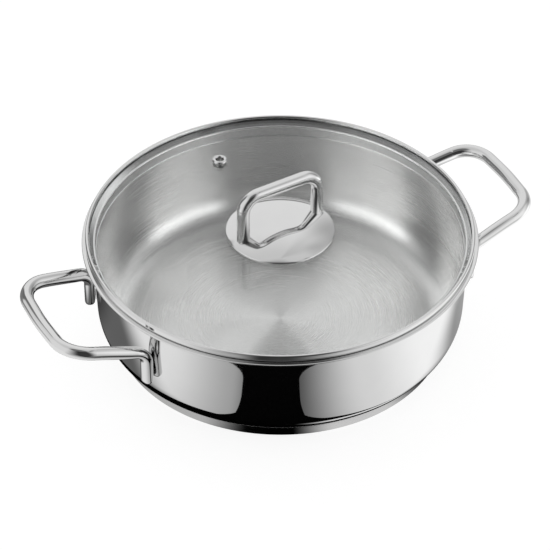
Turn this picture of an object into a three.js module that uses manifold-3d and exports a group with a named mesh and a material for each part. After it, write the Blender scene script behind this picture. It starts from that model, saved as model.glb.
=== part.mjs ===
// Shallow casserole pan with a glass lid: pressed shell on a capsule base, two welded loop handles,
// and a lift-off lid of almost flat glass in a rolled steel ring.
// Millimetres, +Z up. The origin is the middle of the underside of the base, +X runs through the handles.

import * as THREE from 'three';
import { mergeVertices } from 'three/addons/utils/BufferGeometryUtils.js';
import Module from 'manifold-3d';

const wasm = await Module();
wasm.setup();

// Driving dimensions

const seatGap = 0.3; // room left between two pieces that touch

// Shell
const mouthRadius = 141; // outside of the wall where the rim starts to flare
const wallHeight = 77; // from the underside of the floor up to the flare
const wallDraft = THREE.MathUtils.degToRad(2.4); // lean of the wall, narrower towards the floor
const shellThickness = 1;
const bendRadius = 26.5; // outside of the bend between floor and wall
const flareRadius = 4.5; // underside of the flare
const rimOverhang = 7.5; // rim edge beyond the mouth

// Capsule base
const baseInset = 13; // side of the capsule, in from the widest point of the bottom bend
const capThickness = 0.7;
const capCorner = 2.2;
const coreThickness = 4.2;

// Side handles
const barDiameter = 9.8;
const barSquareness = 2.2; // 2 is round, more is squarer
const handleReach = 55.1; // outer bar's centreline beyond the mouth
const handleBow = 2.4; // outer bar bulges by this much in the middle
const armSpacing = 88.2; // where the two arms' lines reach the outer bar
const legSpacing = 102; // centre to centre of the two legs
const handleCorner = 24;
const handleDrop = 23.4; // arms below the rim, at the legs
const handleRise = 13.1; // outer bar above the arms at the legs
const legBend = 10.5;
const legLength = 29; // from the arm's centreline to the rounded foot
const legWidth = 9.8; // along the wall
const legThickness = 7.8;
const legSquareness = 2.5;
const legTip = 3.4; // length of the rounded foot
const legStandoff = 1.1; // leg clear of the wall
const studWidth = 6;
const studHeight = 6;
const studAboveFoot = 8.6;

// Lid ring
const lidTurn = THREE.MathUtils.degToRad(4.4); // the lid lies turned by this much on the rim
const lidClearance = 1.3; // skirt clear of the mouth
const stripThickness = 0.5;
const ringInset = 2.7; // outside of the ring, in from the rim edge
const ringCorner = 2.4; // rounding of the ring's lower edge, which rests on the flare
const beadWidth = 2.7; // curled upper edge, which holds the glass down
const beadHeight = 2.05; // its top above the glass
const seatWidth = 2.2; // flat that the glass rests on
const foldDrop = 2.2; // fall from that flat to the ledge above the skirt
const ledgeWidth = 1.7; // that ledge, in from the foot of the fall
const skirtHeight = 11.2; // from the flat down to the lower edge
const hemHeight = 1.4; // folded lower edge of the skirt
const hemDepth = 0.6;

// Lid glass and vent
const glassThickness = 3;
const glassEdge = 0.6; // chamfer round the glass
const glassRise = 0.15; // the middle above the edge: the glass is almost flat
const ventInset = 46.3; // from the edge of the glass
const ventAngle = THREE.MathUtils.degToRad(86.8); // from the line of the lid handle
const ventBore = 5.6;
const ventWall = 0.7;
const ventFlange = 11.4;
const ventHeight = 3;
const ventWasherThickness = 0.7;
const ventWasherRim = 1.8;

// Lid handle
const plateRadius = 40.8;
const plateSheet = 1;
const plateLip = 1.8; // upright edge of the plate
const plateClearance = 0.4; // that edge clear of the glass
const plateRise = 10.3; // crown above that edge
const lidBarWidth = 9.4;
const lidBarSquareness = 2.3;
const lidBarSpan = 64; // centre to centre of its legs
const lidBarHeight = 42.2; // centreline above the edge of the plate
const lidBarCorner = 13;
const gasketWidth = 2.6;
const gasketInset = 6.8; // gasket in from the edge of the plate
const bossDiameter = 12;
const screwDiameter = 5;
const screwTipRoom = 1;
const screwChamfer = 0.6;
const screwHeadDiameter = 10;
const screwHeadHeight = 2.8;
const screwSlotWidth = 1.3;
const screwSlotLength = 6;
const screwSlotDepth = 1.5;
const sealDiameter = 18;
const sealThickness = 1.5;
const sealCollar = 1.4;
const washerDiameter = 20;
const washerThickness = 1;

// Facets
const largeSides = 48;
const plateSides = 36;
const smallSides = 20;
const barSides = 12;
const bendSteps = 7; // round a bend of a bar
const wideSteps = 8; // round the bottom bend of the shell
const domeSteps = 7;
const flareSteps = 5;
const faceSteps = 2; // across the faces of the glass
const edgeSteps = 4;
const cornerSteps = 3;

// Materials

function steel(color, roughness) {
  return new THREE.MeshStandardMaterial({ color, roughness, metalness: 1 });
}
const polishedSteel = steel(0xd4d5d6, 0.08);
const satinSteel = steel(0xbfc0c1, 0.32);
const aluminium = steel(0xb9bcc0, 0.4);
const clearGlass = new THREE.MeshStandardMaterial({
  color: 0xe4ece9,
  roughness: 0.04,
  metalness: 0,
  transparent: true,
  opacity: 0.3,
});
const silicone = new THREE.MeshStandardMaterial({ color: 0xc9cac8, roughness: 0.75, metalness: 0 });

// Geometry helpers

const at = (r, z) => new THREE.Vector2(r, z);
const spot = (x, y, z) => new THREE.Vector3(x, y, z);
const quarter = Math.PI / 2;

// Points on an arc in the plane of a profile.
function arc(centre, radius, from, to, steps) {
  const points = [];
  for (let i = 0; i <= steps; i += 1) {
    const angle = from + ((to - from) * i) / steps;
    points.push(at(centre.x + radius * Math.cos(angle), centre.y + radius * Math.sin(angle)));
  }
  return points;
}

// Shares the vertices of a closed surface and drops triangles that have collapsed on the axis.
function weld(geometry) {
  geometry.deleteAttribute('normal');
  geometry.deleteAttribute('uv');
  const merged = mergeVertices(geometry);
  const index = merged.getIndex().array;
  const kept = [];
  for (let i = 0; i < index.length; i += 3) {
    const [a, b, c] = [index[i], index[i + 1], index[i + 2]];
    if (a !== b && b !== c && c !== a) {
      kept.push(a, b, c);
    }
  }
  merged.setIndex(kept);
  merged.computeVertexNormals();
  return merged;
}

// Turns a profile of (radius, height) points round +Z. The profile runs anticlockwise and closes on itself.
function revolve(profile, sides) {
  const lathe = new THREE.LatheGeometry([...profile, profile[0]], sides);
  return weld(lathe.rotateX(quarter));
}

function toSolid(geometry) {
  return new wasm.Manifold(
    new wasm.Mesh({
      numProp: 3,
      vertProperties: new Float32Array(geometry.getAttribute('position').array),
      triVerts: new Uint32Array(geometry.getIndex().array),
    }),
  );
}

function cut(geometry, ...tools) {
  const result = tools.reduce((solid, tool) => solid.subtract(toSolid(tool)), toSolid(geometry));
  const mesh = result.getMesh();
  const cutGeometry = new THREE.BufferGeometry();
  cutGeometry.setAttribute('position', new THREE.BufferAttribute(mesh.vertProperties, 3));
  cutGeometry.setIndex(Array.from(mesh.triVerts));
  cutGeometry.computeVertexNormals();
  return cutGeometry;
}

// A path of straight runs with a round bend at each inner vertex.
function bentPath(vertices, radii) {
  const path = new THREE.CurvePath();
  let start = vertices[0];
  for (let i = 1; i < vertices.length - 1; i += 1) {
    const before = vertices[i - 1].clone().sub(vertices[i]).normalize();
    const after = vertices[i + 1].clone().sub(vertices[i]).normalize();
    const turn = Math.PI - before.angleTo(after);
    const reach = radii[i - 1] * Math.tan(turn / 2);
    const pull = reach - (4 / 3) * radii[i - 1] * Math.tan(turn / 4);
    const enter = vertices[i].clone().addScaledVector(before, reach);
    const leave = vertices[i].clone().addScaledVector(after, reach);
    path.add(new THREE.LineCurve3(start, enter));
    path.add(
      new THREE.CubicBezierCurve3(
        enter,
        vertices[i].clone().addScaledVector(before, pull),
        vertices[i].clone().addScaledVector(after, pull),
        leave,
      ),
    );
    start = leave;
  }
  path.add(new THREE.LineCurve3(start, vertices[vertices.length - 1]));
  return path;
}

// Places along a path: both ends of each straight run, and even steps round each bend.
function stations(path) {
  const list = [];
  let length = 0;
  for (const curve of path.curves) {
    const steps = curve instanceof THREE.LineCurve3 ? 1 : bendSteps;
    for (let i = list.length === 0 ? 0 : 1; i <= steps; i += 1) {
      const share = i / steps;
      list.push({
        place: curve.getPointAt(share),
        tangent: curve.getTangentAt(share),
        along: length + curve.getLength() * share,
      });
    }
    length += curve.getLength();
  }
  return list;
}

// Rounds both ends: the first and last stations are spread over the tip and shrink to a small flat.
function roundedEnds(list, tip, steps) {
  const total = list[list.length - 1].along;
  const tipRing = (end, k) => {
    const depth = tip * (1 - Math.cos((quarter * k) / steps));
    const side = end.along === 0 ? 1 : -1;
    return {
      place: end.place.clone().addScaledVector(end.tangent, side * depth),
      tangent: end.tangent,
      along: end.along + side * depth,
      shrink: Math.sin((quarter * k) / steps),
    };
  };
  const first = [];
  const last = [];
  for (let k = 1; k <= steps; k += 1) {
    first.push(tipRing(list[0], k));
    last.unshift(tipRing(list[list.length - 1], k));
  }
  const middle = list.filter((s) => s.along > tip && s.along < total - tip);
  return [...first, ...middle, ...last];
}

// Rounded oblong section: half sizes along the two section axes, and squareness 2 for an ellipse.
function sectionPoint(half, angle) {
  const round = (v) => Math.sign(v) * Math.abs(v) ** (2 / half.squareness);
  return at(half.thin * round(Math.cos(angle)), half.wide * round(Math.sin(angle)));
}

// Sweeps a section along the stations, carrying its axes round the bends without twist.
function sweep(list, firstThinAxis, sectionAt, sides) {
  const vertices = [];
  const triangles = [];
  const thinAxis = firstThinAxis.clone();
  const turn = new THREE.Quaternion();
  list.forEach((station, i) => {
    if (i > 0) {
      thinAxis.applyQuaternion(turn.setFromUnitVectors(list[i - 1].tangent, station.tangent));
    }
    const wideAxis = station.tangent.clone().cross(thinAxis);
    const half = sectionAt(station.along);
    for (let k = 0; k < sides; k += 1) {
      const p = sectionPoint(half, (2 * Math.PI * k) / sides).multiplyScalar(station.shrink ?? 1);
      const v = station.place.clone().addScaledVector(thinAxis, p.x).addScaledVector(wideAxis, p.y);
      vertices.push(v.x, v.y, v.z);
    }
  });
  for (let i = 0; i + 1 < list.length; i += 1) {
    for (let k = 0; k < sides; k += 1) {
      const a = i * sides + k;
      const b = i * sides + ((k + 1) % sides);
      triangles.push(a, b, b + sides, a, b + sides, a + sides);
    }
  }
  const lastRing = (list.length - 1) * sides;
  for (let k = 1; k + 1 < sides; k += 1) {
    triangles.push(0, k + 1, k);
    triangles.push(lastRing, lastRing + k, lastRing + k + 1);
  }
  const geometry = new THREE.BufferGeometry();
  geometry.setAttribute('position', new THREE.BufferAttribute(new Float32Array(vertices), 3));
  geometry.setIndex(triangles);
  geometry.computeVertexNormals();
  return geometry;
}

function piece(group, name, geometry, material) {
  const mesh = new THREE.Mesh(geometry, material);
  mesh.name = name;
  group.add(mesh);
  return mesh;
}

// Shell: heights and radii that the other pieces share

const shellBottom = capThickness + seatGap + coreThickness + seatGap;
const floorTop = shellBottom + shellThickness;
const flareHeight = shellBottom + wallHeight;
const wallLine = (z) => mouthRadius - (flareHeight - z) * Math.tan(wallDraft);
const bendCentre = at(0, shellBottom + bendRadius);
bendCentre.x = wallLine(bendCentre.y) - bendRadius / Math.cos(wallDraft);
const flare = Math.min(flareRadius, rimOverhang - shellThickness / 2);
const flareCentre = at(mouthRadius + flare / Math.cos(wallDraft), flareHeight);
const flareTopRadius = flare + shellThickness;
const rimRadius = mouthRadius + rimOverhang;
const rimTop = flareHeight + flareTopRadius;
const mouthInner = mouthRadius - shellThickness / Math.cos(wallDraft);

// Outside of the shell at a height, on the straight wall or on the bottom bend.
function outsideAt(z) {
  const below = bendCentre.y - z;
  if (below <= bendRadius * Math.sin(wallDraft)) {
    return wallLine(z);
  }
  return bendCentre.x + Math.sqrt(bendRadius ** 2 - below ** 2);
}

function shellProfile() {
  const halfSheet = shellThickness / 2;
  const rimEdge = at(rimRadius - halfSheet, rimTop - halfSheet);
  return [
    at(0, shellBottom),
    ...arc(bendCentre, bendRadius, -quarter, -wallDraft, wideSteps),
    ...arc(flareCentre, flare, Math.PI - wallDraft, quarter, flareSteps),
    ...arc(rimEdge, halfSheet, -quarter, quarter, edgeSteps),
    ...arc(flareCentre, flareTopRadius, quarter, Math.PI - wallDraft, flareSteps),
    ...arc(bendCentre, bendRadius - shellThickness, -wallDraft, -quarter, wideSteps),
    at(0, floorTop),
  ];
}

// Capsule base: an aluminium core in a steel cup, both shaped to the bottom bend

const baseRadius = bendCentre.x + bendRadius - baseInset;
const coreRadius = baseRadius - capThickness - seatGap;
const underBend = bendRadius + seatGap;
const underBendAngle = (r) => -Math.acos((r - bendCentre.x) / underBend);

function coreProfile() {
  const coreBottom = capThickness + seatGap;
  const corner = Math.min(capCorner, coreThickness / 2);
  const cornerCentre = at(coreRadius - corner, coreBottom + corner);
  return [
    at(0, coreBottom),
    ...arc(cornerCentre, corner, -quarter, 0, cornerSteps),
    ...arc(bendCentre, underBend, underBendAngle(coreRadius), -quarter, edgeSteps),
    at(0, shellBottom - seatGap),
  ];
}

function capProfile() {
  const inner = baseRadius - capThickness;
  const innerCorner = Math.max(capCorner - capThickness, capThickness / 2);
  return [
    at(0, 0),
    ...arc(at(baseRadius - capCorner, capCorner), capCorner, -quarter, 0, edgeSteps),
    ...arc(bendCentre, underBend, underBendAngle(baseRadius), underBendAngle(inner), 1),
    ...arc(at(inner - innerCorner, capThickness + innerCorner), innerCorner, 0, -quarter, cornerSteps),
    at(0, capThickness),
  ];
}

const pan = new THREE.Group();
piece(pan, 'pan_body', revolve(shellProfile(), largeSides), polishedSteel);
piece(pan, 'base_core', revolve(coreProfile(), largeSides), aluminium);
piece(pan, 'base_cap', revolve(capProfile(), largeSides), polishedSteel);

// Side handles: a bent bar whose legs turn down beside the wall, each held off it by a stud

const armHeight = rimTop - handleDrop;
const footHeight = armHeight - legLength;
const studMiddle = footHeight + studAboveFoot;
const legHalf = { thin: legThickness / 2, wide: legWidth / 2, squareness: legSquareness };
const barHalf = { thin: barDiameter / 2, wide: barDiameter / 2, squareness: barSquareness };
const outerBar = mouthRadius + handleReach;

const wallAtStud = outsideAt(studMiddle);
const legInnerRadius = wallAtStud + legStandoff;
const legRadius = legInnerRadius + legThickness / 2;
const legAngle = Math.asin(legSpacing / 2 / legRadius);

function handleGeometry() {
  const legX = legRadius * Math.cos(legAngle);
  const half = legSpacing / 2;
  const outerHeight = armHeight + handleRise;
  const cornerX = outerBar - handleBow;
  const vertices = [
    spot(legX, -half, footHeight),
    spot(legX, -half, armHeight),
    spot(cornerX, -armSpacing / 2, outerHeight),
    spot(outerBar, 0, outerHeight),
    spot(cornerX, armSpacing / 2, outerHeight),
    spot(legX, half, armHeight),
    spot(legX, half, footHeight),
  ];
  const bowRadius = (armSpacing / 4) ** 2 / handleBow;
  const path = bentPath(vertices, [legBend, handleCorner, bowRadius, handleCorner, legBend]);
  const list = roundedEnds(stations(path), legTip, edgeSteps);
  const total = path.getLength();
  const legEnd = legLength - legBend;
  const blendLength = 3 * legBend;
  const sectionAt = (along) => {
    const fromEnd = Math.min(along, total - along);
    const mix = THREE.MathUtils.smoothstep(fromEnd, legEnd, legEnd + blendLength);
    const blend = (key) => THREE.MathUtils.lerp(legHalf[key], barHalf[key], mix);
    return { thin: blend('thin'), wide: blend('wide'), squareness: blend('squareness') };
  };
  const thinAxis = spot(Math.cos(legAngle), -Math.sin(legAngle), 0); // square to the wall
  return sweep(list, thinAxis, sectionAt, barSides);
}

function studGeometry(side) {
  const length = legInnerRadius - wallAtStud - 2 * seatGap;
  const stud = new THREE.BoxGeometry(length, studWidth, studHeight);
  stud.translate(wallAtStud + seatGap + length / 2, 0, studMiddle);
  stud.rotateZ(side * legAngle);
  return weld(stud);
}

for (const [sideName, turn, legs] of [
  ['right', 0, { front: -1, rear: 1 }],
  ['left', Math.PI, { front: 1, rear: -1 }],
]) {
  const group = new THREE.Group();
  group.rotation.z = turn;
  piece(group, `${sideName}_handle`, handleGeometry(), polishedSteel);
  for (const [legName, side] of Object.entries(legs)) {
    piece(group, `${sideName}_${legName}_weld_stud`, studGeometry(side), satinSteel);
  }
  pan.add(group);
}

// Lid ring: a channel with a curled bead round the edge of the glass, and a skirt inside the mouth

const skirtOuter = mouthInner - lidClearance;
const skirtInner = skirtOuter - stripThickness;
const ringOuter = rimRadius - ringInset;
const channelOuter = ringOuter - stripThickness;
const glassRadius = channelOuter - seatGap;
const cornerX = ringOuter - ringCorner;
const cornerToFlare = flareTopRadius + ringCorner + seatGap;
const cornerLead = Math.max(flareCentre.x - cornerX, 0); // the ring's corner sits on the round of the flare
const flangeBottom = flareHeight + Math.sqrt(cornerToFlare ** 2 - cornerLead ** 2) - ringCorner;
const flangeTop = flangeBottom + stripThickness;

// Glass: height of its upper face at a radius
const glassCrown = flangeTop + seatGap + glassThickness + glassRise;
const glassTop = (r) => glassCrown - glassRise * (r / glassRadius) ** 2;
const ringTop = glassTop(glassRadius) + beadHeight;

function ringProfile() {
  const skirtBottom = flangeBottom - skirtHeight;
  const hemTop = skirtBottom + hemHeight;
  const hemInner = skirtInner - hemDepth;
  const halfStrip = stripThickness / 2;
  const seatInner = glassRadius - seatWidth;
  const ledgeOuter = skirtOuter + ledgeWidth;
  const beadRadius = beadWidth / 2;
  const beadCentre = at(ringOuter - beadRadius, ringTop - beadRadius);
  const beadTip = glassTop(glassRadius) + seatGap;
  return [
    at(hemInner, skirtBottom + halfStrip),
    at(skirtInner, skirtBottom),
    at(skirtOuter, skirtBottom),
    at(skirtOuter, flangeBottom - foldDrop),
    at(ledgeOuter, flangeBottom - foldDrop),
    at(seatInner, flangeBottom),
    ...arc(at(cornerX, flangeBottom + ringCorner), ringCorner, -quarter, 0, cornerSteps),
    ...arc(beadCentre, beadRadius, 0, Math.PI, 2 * cornerSteps),
    at(beadCentre.x - beadRadius, beadTip),
    at(beadCentre.x - beadRadius + stripThickness, beadTip),
    ...arc(beadCentre, beadRadius - stripThickness, Math.PI, 0, cornerSteps),
    at(channelOuter, flangeTop),
    at(seatInner, flangeTop),
    at(ledgeOuter - stripThickness, flangeTop - foldDrop),
    at(skirtInner, flangeTop - foldDrop),
    at(skirtInner, hemTop),
    at(hemInner, hemTop - halfStrip),
  ];
}

// Central fixing: the screw's hole sets the collar, and the collar sets the hole in the glass
const screwHole = screwDiameter / 2 + seatGap;
const glassHole = screwHole + sealCollar + seatGap;

function glassProfile() {
  const faceRadius = (i) => glassHole + ((glassRadius - glassEdge - glassHole) * i) / faceSteps;
  const under = [];
  const over = [];
  for (let i = 0; i <= faceSteps; i += 1) {
    under.push(at(faceRadius(i), glassTop(faceRadius(i)) - glassThickness));
    over.unshift(at(faceRadius(i), glassTop(faceRadius(i))));
  }
  const rim = glassTop(glassRadius);
  const edge = [at(glassRadius, rim - glassThickness + glassEdge), at(glassRadius, rim - glassEdge)];
  return [...under, ...edge, ...over];
}

const lid = new THREE.Group();
lid.rotation.z = lidTurn;
piece(lid, 'lid_rim_ring', revolve(ringProfile(), largeSides), polishedSteel);

// Vent: a turned-over eyelet square to the glass, with a washer below

const vent = new THREE.Group();
const ventDistance = glassRadius - ventInset;
const ventTilt = Math.atan((2 * glassRise * ventDistance) / glassRadius ** 2);
vent.position.set(ventDistance, 0, glassTop(ventDistance)).applyAxisAngle(spot(0, 0, 1), ventAngle);
vent.rotation.set(0, ventTilt, ventAngle, 'ZYX');
vent.updateMatrix();
const ventInner = ventBore / 2;
const ventOuter = ventInner + ventWall;
const ventHole = ventOuter + seatGap;

function ventProfile() {
  const flange = ventFlange / 2;
  const crownRadius = (flange - ventInner) / 2;
  const crownCentre = at(ventInner + crownRadius, ventHeight - crownRadius);
  const washerBottom = -glassThickness - seatGap - ventWasherThickness;
  const curlTop = washerBottom - seatGap;
  const curlRadius = ventHole + ventWall;
  const curlBottom = curlTop - ventWall;
  return [
    at(ventInner, curlBottom),
    at(curlRadius, curlBottom),
    at(curlRadius, curlTop),
    at(ventOuter, curlTop),
    at(ventOuter, seatGap),
    at(flange, seatGap),
    ...arc(crownCentre, crownRadius, 0, Math.PI, 2 * cornerSteps),
  ];
}

function ventWasherProfile() {
  const top = -glassThickness - seatGap;
  return [
    at(ventHole, top - ventWasherThickness),
    at(ventHole + ventWasherRim, top - ventWasherThickness),
    at(ventHole + ventWasherRim, top),
    at(ventHole, top),
  ];
}

piece(vent, 'vent_eyelet', revolve(ventProfile(), smallSides), polishedSteel);
piece(vent, 'vent_washer', revolve(ventWasherProfile(), smallSides), satinSteel);
lid.add(vent);

function glassGeometry() {
  const drillLength = 4 * glassThickness; // past both faces
  const drill = new THREE.CylinderGeometry(ventHole, ventHole, drillLength, smallSides);
  drill.rotateX(quarter);
  drill.applyMatrix4(vent.matrix);
  return cut(revolve(glassProfile(), largeSides), weld(drill));
}

piece(lid, 'lid_glass', glassGeometry(), clearGlass);

// Lid handle: a bent bar on a domed plate, over a gasket

const plateEdge = glassTop(plateRadius) + plateClearance;
const plateShoulder = plateEdge + plateLip;
const domeRadius = (plateRadius ** 2 + plateRise ** 2) / (2 * plateRise);
const domeCentre = at(0, plateShoulder + plateRise - domeRadius);
const domeAngle = (r, radius) => Math.acos(r / radius);

function plateProfile() {
  const inner = domeRadius - plateSheet;
  const innerEdge = plateRadius - plateSheet;
  return [
    ...arc(domeCentre, inner, quarter, domeAngle(innerEdge, inner), domeSteps),
    at(innerEdge, plateEdge),
    at(plateRadius, plateEdge),
    ...arc(domeCentre, domeRadius, domeAngle(plateRadius, domeRadius), quarter, domeSteps),
  ];
}

function gasketProfile() {
  const outer = plateRadius - gasketInset;
  const inner = outer - gasketWidth;
  const bottom = glassTop(inner) + seatGap;
  const underDome = domeRadius - plateSheet - seatGap;
  const top = domeCentre.y + Math.sqrt(underDome ** 2 - outer ** 2);
  return [at(inner, bottom), at(outer, bottom), at(outer, top), at(inner, top)];
}

function lidBarGeometry() {
  const half = lidBarSpan / 2;
  const top = plateEdge + lidBarHeight;
  const vertices = [
    spot(-half, 0, plateEdge),
    spot(-half, 0, top),
    spot(half, 0, top),
    spot(half, 0, plateEdge),
  ];
  const path = bentPath(vertices, [lidBarCorner, lidBarCorner]);
  const section = { thin: lidBarWidth / 2, wide: lidBarWidth / 2, squareness: lidBarSquareness };
  const bar = sweep(stations(path), spot(1, 0, 0), () => section, barSides);
  const clear = domeRadius + seatGap;
  const foot = [
    at(0, plateEdge - plateLip),
    at(plateRadius, plateEdge - plateLip),
    ...arc(domeCentre, clear, domeAngle(plateRadius, clear), quarter, domeSteps),
  ];
  return cut(bar, revolve(foot, plateSides));
}

piece(lid, 'lid_handle_plate', revolve(plateProfile(), plateSides), polishedSteel);
piece(lid, 'lid_handle_bar', lidBarGeometry(), polishedSteel);
piece(lid, 'plate_gasket', revolve(gasketProfile(), plateSides), silicone);

// Fixing under the plate: boss, seal with collar, washer and screw

const bossTop = domeCentre.y + domeRadius - plateSheet - 2 * seatGap;
const bossBottom = glassCrown + seatGap;
const sealTop = glassCrown - glassThickness - seatGap;
const sealBottom = sealTop - sealThickness;
const washerTop = sealBottom - seatGap;
const washerBottom = washerTop - washerThickness;
const headTop = washerBottom - seatGap;
const headBottom = headTop - screwHeadHeight;

function tubeProfile(inner, outer, bottom, top) {
  return [at(inner, bottom), at(outer, bottom), at(outer, top), at(inner, top)];
}

function sealProfile() {
  const collarTop = glassCrown - seatGap;
  const collarOuter = screwHole + sealCollar;
  return [
    at(screwHole, sealBottom),
    at(sealDiameter / 2, sealBottom),
    at(sealDiameter / 2, sealTop),
    at(collarOuter, sealTop),
    at(collarOuter, collarTop),
    at(screwHole, collarTop),
  ];
}

function screwGeometry() {
  const shank = screwDiameter / 2;
  const head = screwHeadDiameter / 2;
  const round = screwHeadHeight / 2;
  const tip = bossTop - screwTipRoom;
  const blank = revolve(
    [
      at(0, headBottom),
      ...arc(at(head - round, headBottom + round), round, -quarter, 0, cornerSteps),
      at(head, headTop),
      at(shank, headTop),
      at(shank, tip - screwChamfer),
      at(shank - screwChamfer, tip),
      at(0, tip),
    ],
    smallSides,
  );
  const slots = [0, quarter].map((angle) => {
    const slot = new THREE.BoxGeometry(screwSlotLength, screwSlotWidth, 2 * screwSlotDepth);
    return weld(slot.rotateZ(angle).translate(0, 0, headBottom));
  });
  return cut(blank, ...slots);
}

const bossProfile = tubeProfile(screwHole, bossDiameter / 2, bossBottom, bossTop);
const washerProfile = tubeProfile(screwHole, washerDiameter / 2, washerBottom, washerTop);
piece(lid, 'handle_boss', revolve(bossProfile, smallSides), satinSteel);
piece(lid, 'screw_seal', revolve(sealProfile(), smallSides), silicone);
piece(lid, 'screw_washer', revolve(washerProfile, smallSides), satinSteel);
piece(lid, 'handle_screw', screwGeometry(), satinSteel);

const casserole = new THREE.Group();
casserole.name = 'casserole_pan_with_lid';
casserole.add(pan, lid);

export default casserole;
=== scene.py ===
"""Shallow casserole pan with a glass lid: smooth visual pieces, materials, studio light and camera.

Sizes are in millimetres as in the CAD model, and meshes are written in metres.
"""
from math import acos, asin, atan2, ceil, cos, hypot, pi, radians, sin, sqrt, tan

import bmesh
import bpy
from mathutils import Matrix, Quaternion, Vector


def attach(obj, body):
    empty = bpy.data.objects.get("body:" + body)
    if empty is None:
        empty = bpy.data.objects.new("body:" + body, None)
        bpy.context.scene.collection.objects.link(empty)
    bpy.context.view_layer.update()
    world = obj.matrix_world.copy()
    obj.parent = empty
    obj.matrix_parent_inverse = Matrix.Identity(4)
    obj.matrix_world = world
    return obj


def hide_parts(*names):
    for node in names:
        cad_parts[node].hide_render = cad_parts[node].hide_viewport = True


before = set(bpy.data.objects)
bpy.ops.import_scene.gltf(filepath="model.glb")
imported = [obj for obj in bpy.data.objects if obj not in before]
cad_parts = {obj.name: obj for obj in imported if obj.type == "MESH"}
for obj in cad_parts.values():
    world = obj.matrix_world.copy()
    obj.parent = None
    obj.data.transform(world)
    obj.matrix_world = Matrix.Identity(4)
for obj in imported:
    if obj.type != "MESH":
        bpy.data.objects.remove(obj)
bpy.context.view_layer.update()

MM = 0.001
QUARTER = pi / 2

# Sizes, the same as in the CAD model
SEAT_GAP = 0.3
MOUTH_RADIUS, WALL_HEIGHT, WALL_DRAFT = 141, 77, radians(2.4)
SHELL, BEND_RADIUS, FLARE, RIM_OVERHANG = 1, 26.5, 4.5, 7.5
BASE_INSET, CAP, CAP_CORNER, CORE = 13, 0.7, 2.2, 4.2
BAR, BAR_SQUARENESS = 9.8, 2.2
HANDLE_REACH, HANDLE_BOW, HANDLE_CORNER = 55.1, 2.4, 24
ARM_SPACING, LEG_SPACING = 88.2, 102
HANDLE_DROP, HANDLE_RISE = 23.4, 13.1
LEG_BEND, LEG_LENGTH, LEG_TIP, LEG_STANDOFF = 10.5, 29, 3.4, 1.1
LEG_WIDTH, LEG_THICKNESS, LEG_SQUARENESS = 9.8, 7.8, 2.5
STUD, STUD_ABOVE_FOOT = 6, 8.6
LID_TURN, LID_CLEARANCE = radians(4.4), 1.3
STRIP, RING_INSET, RING_CORNER = 0.5, 2.7, 2.4
BEAD_WIDTH, BEAD_HEIGHT = 2.7, 2.05
SEAT_WIDTH, FOLD_DROP, LEDGE_WIDTH, SKIRT_HEIGHT = 2.2, 2.2, 1.7, 11.2
HEM_HEIGHT, HEM_DEPTH = 1.4, 0.6
GLASS, GLASS_EDGE, GLASS_RISE = 3, 0.6, 0.15
VENT_INSET, VENT_ANGLE = 46.3, radians(86.8)
VENT_BORE, VENT_WALL, VENT_FLANGE, VENT_HEIGHT = 5.6, 0.7, 11.4, 3
VENT_WASHER, VENT_WASHER_RIM = 0.7, 1.8
PLATE_RADIUS, PLATE_SHEET, PLATE_LIP = 40.8, 1, 1.8
PLATE_CLEARANCE, PLATE_RISE = 0.4, 10.3
LID_BAR, LID_BAR_SQUARENESS = 9.4, 2.3
LID_BAR_SPAN, LID_BAR_HEIGHT, LID_BAR_CORNER = 64, 42.2, 13
GASKET_WIDTH, GASKET_INSET = 2.6, 6.8
SCREW, SCREW_TIP_ROOM, SCREW_CHAMFER = 5, 1, 0.6
SCREW_HEAD, SCREW_HEAD_HEIGHT = 10, 2.8
SLOT_WIDTH, SLOT_LENGTH, SLOT_DEPTH = 1.3, 6, 1.5
SEAL_DIAMETER, SEAL, SEAL_COLLAR = 18, 1.5, 1.4
WASHER_DIAMETER, WASHER = 20, 1

# Heights and radii that follow from them
SHELL_BOTTOM = CAP + SEAT_GAP + CORE + SEAT_GAP
FLOOR_TOP = SHELL_BOTTOM + SHELL
FLARE_HEIGHT = SHELL_BOTTOM + WALL_HEIGHT
BEND_Z = SHELL_BOTTOM + BEND_RADIUS
BEND_X = MOUTH_RADIUS - (FLARE_HEIGHT - BEND_Z) * tan(WALL_DRAFT) - BEND_RADIUS / cos(WALL_DRAFT)
FLARE_X = MOUTH_RADIUS + FLARE / cos(WALL_DRAFT)
FLARE_TOP = FLARE + SHELL
RIM_RADIUS = MOUTH_RADIUS + RIM_OVERHANG
RIM_TOP = FLARE_HEIGHT + FLARE_TOP
MOUTH_INNER = MOUTH_RADIUS - SHELL / cos(WALL_DRAFT)
BASE_RADIUS = BEND_X + BEND_RADIUS - BASE_INSET
SKIRT_OUTER = MOUTH_INNER - LID_CLEARANCE
SKIRT_INNER = SKIRT_OUTER - STRIP
RING_OUTER = RIM_RADIUS - RING_INSET
CHANNEL_OUTER = RING_OUTER - STRIP
GLASS_RADIUS = CHANNEL_OUTER - SEAT_GAP
CORNER_X = RING_OUTER - RING_CORNER
CORNER_REACH = FLARE_TOP + RING_CORNER + SEAT_GAP
FLANGE_BOTTOM = FLARE_HEIGHT + sqrt(CORNER_REACH ** 2 - (FLARE_X - CORNER_X) ** 2) - RING_CORNER
FLANGE_TOP = FLANGE_BOTTOM + STRIP
GLASS_CROWN = FLANGE_TOP + SEAT_GAP + GLASS + GLASS_RISE


def glass_top(r):
    return GLASS_CROWN - GLASS_RISE * (r / GLASS_RADIUS) ** 2


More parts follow.
